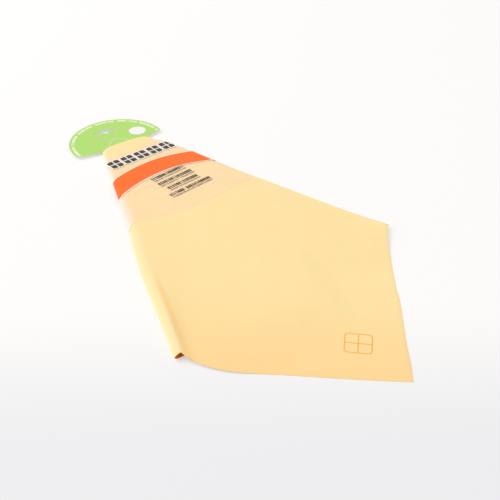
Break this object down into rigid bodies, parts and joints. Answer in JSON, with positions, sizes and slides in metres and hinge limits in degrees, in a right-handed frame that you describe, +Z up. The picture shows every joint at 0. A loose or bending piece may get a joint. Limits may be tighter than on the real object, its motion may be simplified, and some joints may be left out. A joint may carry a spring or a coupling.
{
  "type": "chamois cloth",
  "caption": "Folded synthetic chamois window cloth in its shop wrapper: a clear film sleeve round it and a header card with a hanging slot.",
  "frame": {"origin": "middle of the part's outline seen from above, on the surface it lies on", "axes": "+X across the cloth towards the right-hand fold, +Y along the cloth towards the header card, +Z up"},
  "size_m": [0.3, 0.5878, 0.0087],
  "materials": {
    "cloth": "soft matt non-woven synthetic chamois, pale yellow buff",
    "film": "clear glossy polypropylene film, printed",
    "board": "coated printed board, yellow green, satin",
    "label": "blank white paper label"
  },
  "bodies": {
    "cloth": {"chamois_cloth": "cloth"},
    "sleeve": {"film_sleeve": "film"},
    "card": {"header_card": "board", "round_label": "label"}
  },
  "joints": [
    {"name": "sleeve_slide", "type": "slide", "parent": "cloth", "child": "sleeve", "axis": [0, 1, 0], "range_m": [0, 0.19]},
    {"name": "card_slide", "type": "slide", "parent": "sleeve", "child": "card", "axis": [0, 1, 0], "range_m": [0, 0.115]}
  ]
}
